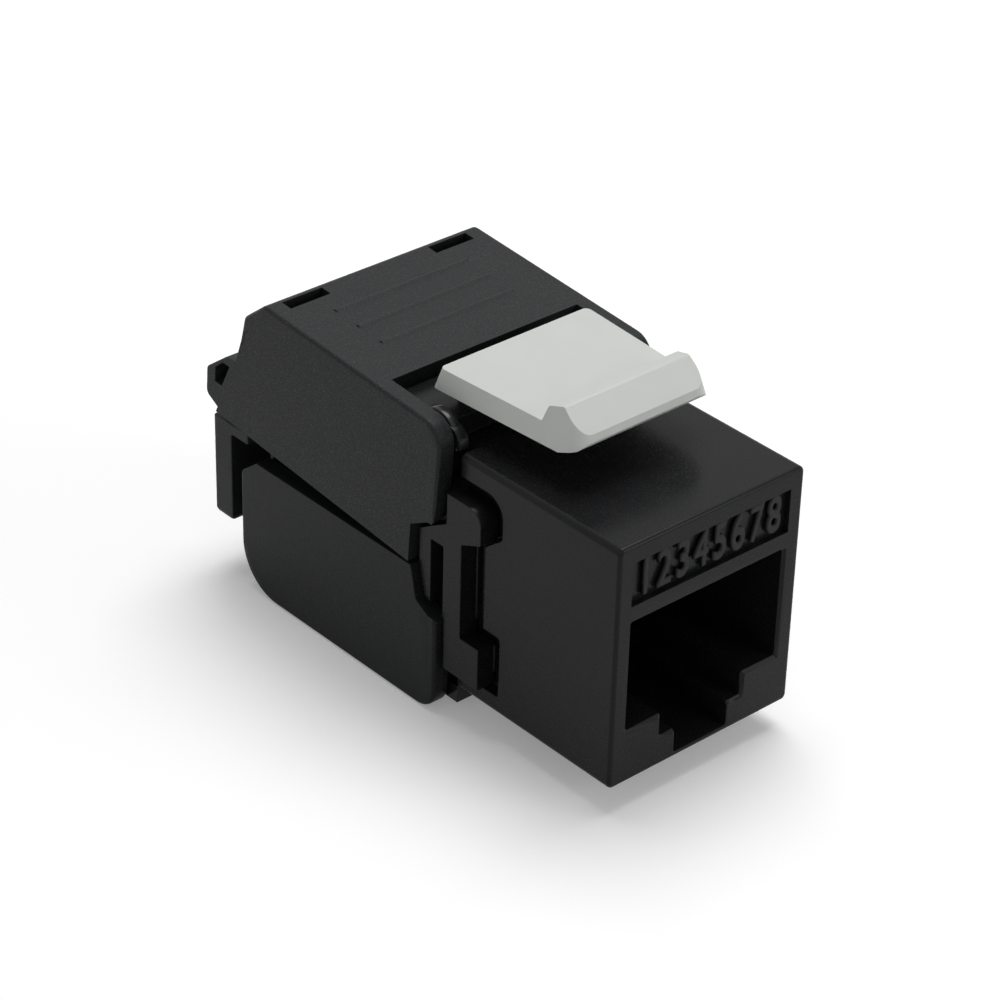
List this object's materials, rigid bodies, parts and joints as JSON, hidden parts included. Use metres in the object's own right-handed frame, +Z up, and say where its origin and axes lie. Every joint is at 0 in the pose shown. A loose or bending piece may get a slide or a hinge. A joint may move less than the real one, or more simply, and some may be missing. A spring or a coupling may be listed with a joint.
{
  "type": "keystone jack",
  "caption": "Tool-less keystone data jack: RJ45 port in a snap-in front, sprung panel latch, and two hinged wings that press the wires home.",
  "frame": {"origin": "centre of the RJ45 port's mouth, in the plane of the front face", "axes": "+X across the jack, +Y from the front face back to the cable, +Z up towards the panel latch"},
  "size_m": [0.0168, 0.0361, 0.0231],
  "materials": {
    "front_housing": "fine semi-matt moulded black",
    "rear_body": "smooth moulded black",
    "top_cover": "spark-textured matt black",
    "wire_cap": "lightly textured matt black",
    "cable_bracket": "lightly textured matt black",
    "panel_latch": "satin light grey",
    "sled": "moulded black",
    "blocks": "natural white plastic",
    "board": "green solder mask",
    "gold": "gold plate on phosphor bronze",
    "tin": "tinned bronze"
  },
  "bodies": {
    "jack": {"front_housing": "front_housing", "rear_body": "rear_body", "cable_bracket": "cable_bracket", "contact_sled": "sled", "circuit_board": "board", "idc_block_upper": "blocks", "idc_block_lower": "blocks", "contact_1": "gold", "contact_2": "gold", "contact_3": "gold", "contact_4": "gold", "contact_5": "gold", "contact_6": "gold", "contact_7": "gold", "contact_8": "gold", "idc_terminal_upper_1": "tin", "idc_terminal_upper_2": "tin", "idc_terminal_upper_3": "tin", "idc_terminal_upper_4": "tin", "idc_terminal_lower_1": "tin", "idc_terminal_lower_2": "tin", "idc_terminal_lower_3": "tin", "idc_terminal_lower_4": "tin"},
    "latch": {"panel_latch": "panel_latch"},
    "cover": {"top_cover": "top_cover"},
    "cap": {"wire_cap": "wire_cap"}
  },
  "joints": [
    {"name": "latch_press", "type": "hinge", "parent": "jack", "child": "latch", "pos_m": [0, 0.0163, 0.0096], "axis": [1, 0, 0], "range_deg": [0, 8], "stiffness_Nm_per_rad": 0.4, "springref_deg": -1.72},
    {"name": "cover_hinge", "type": "hinge", "parent": "jack", "child": "cover", "pos_m": [0, 0.0157, 0.0091], "axis": [1, 0, 0], "range_deg": [0, 55]},
    {"name": "cap_hinge", "type": "hinge", "parent": "jack", "child": "cap", "pos_m": [0, 0.0158, -0.0075], "axis": [-1, 0, 0], "range_deg": [0, 45]}
  ]
}
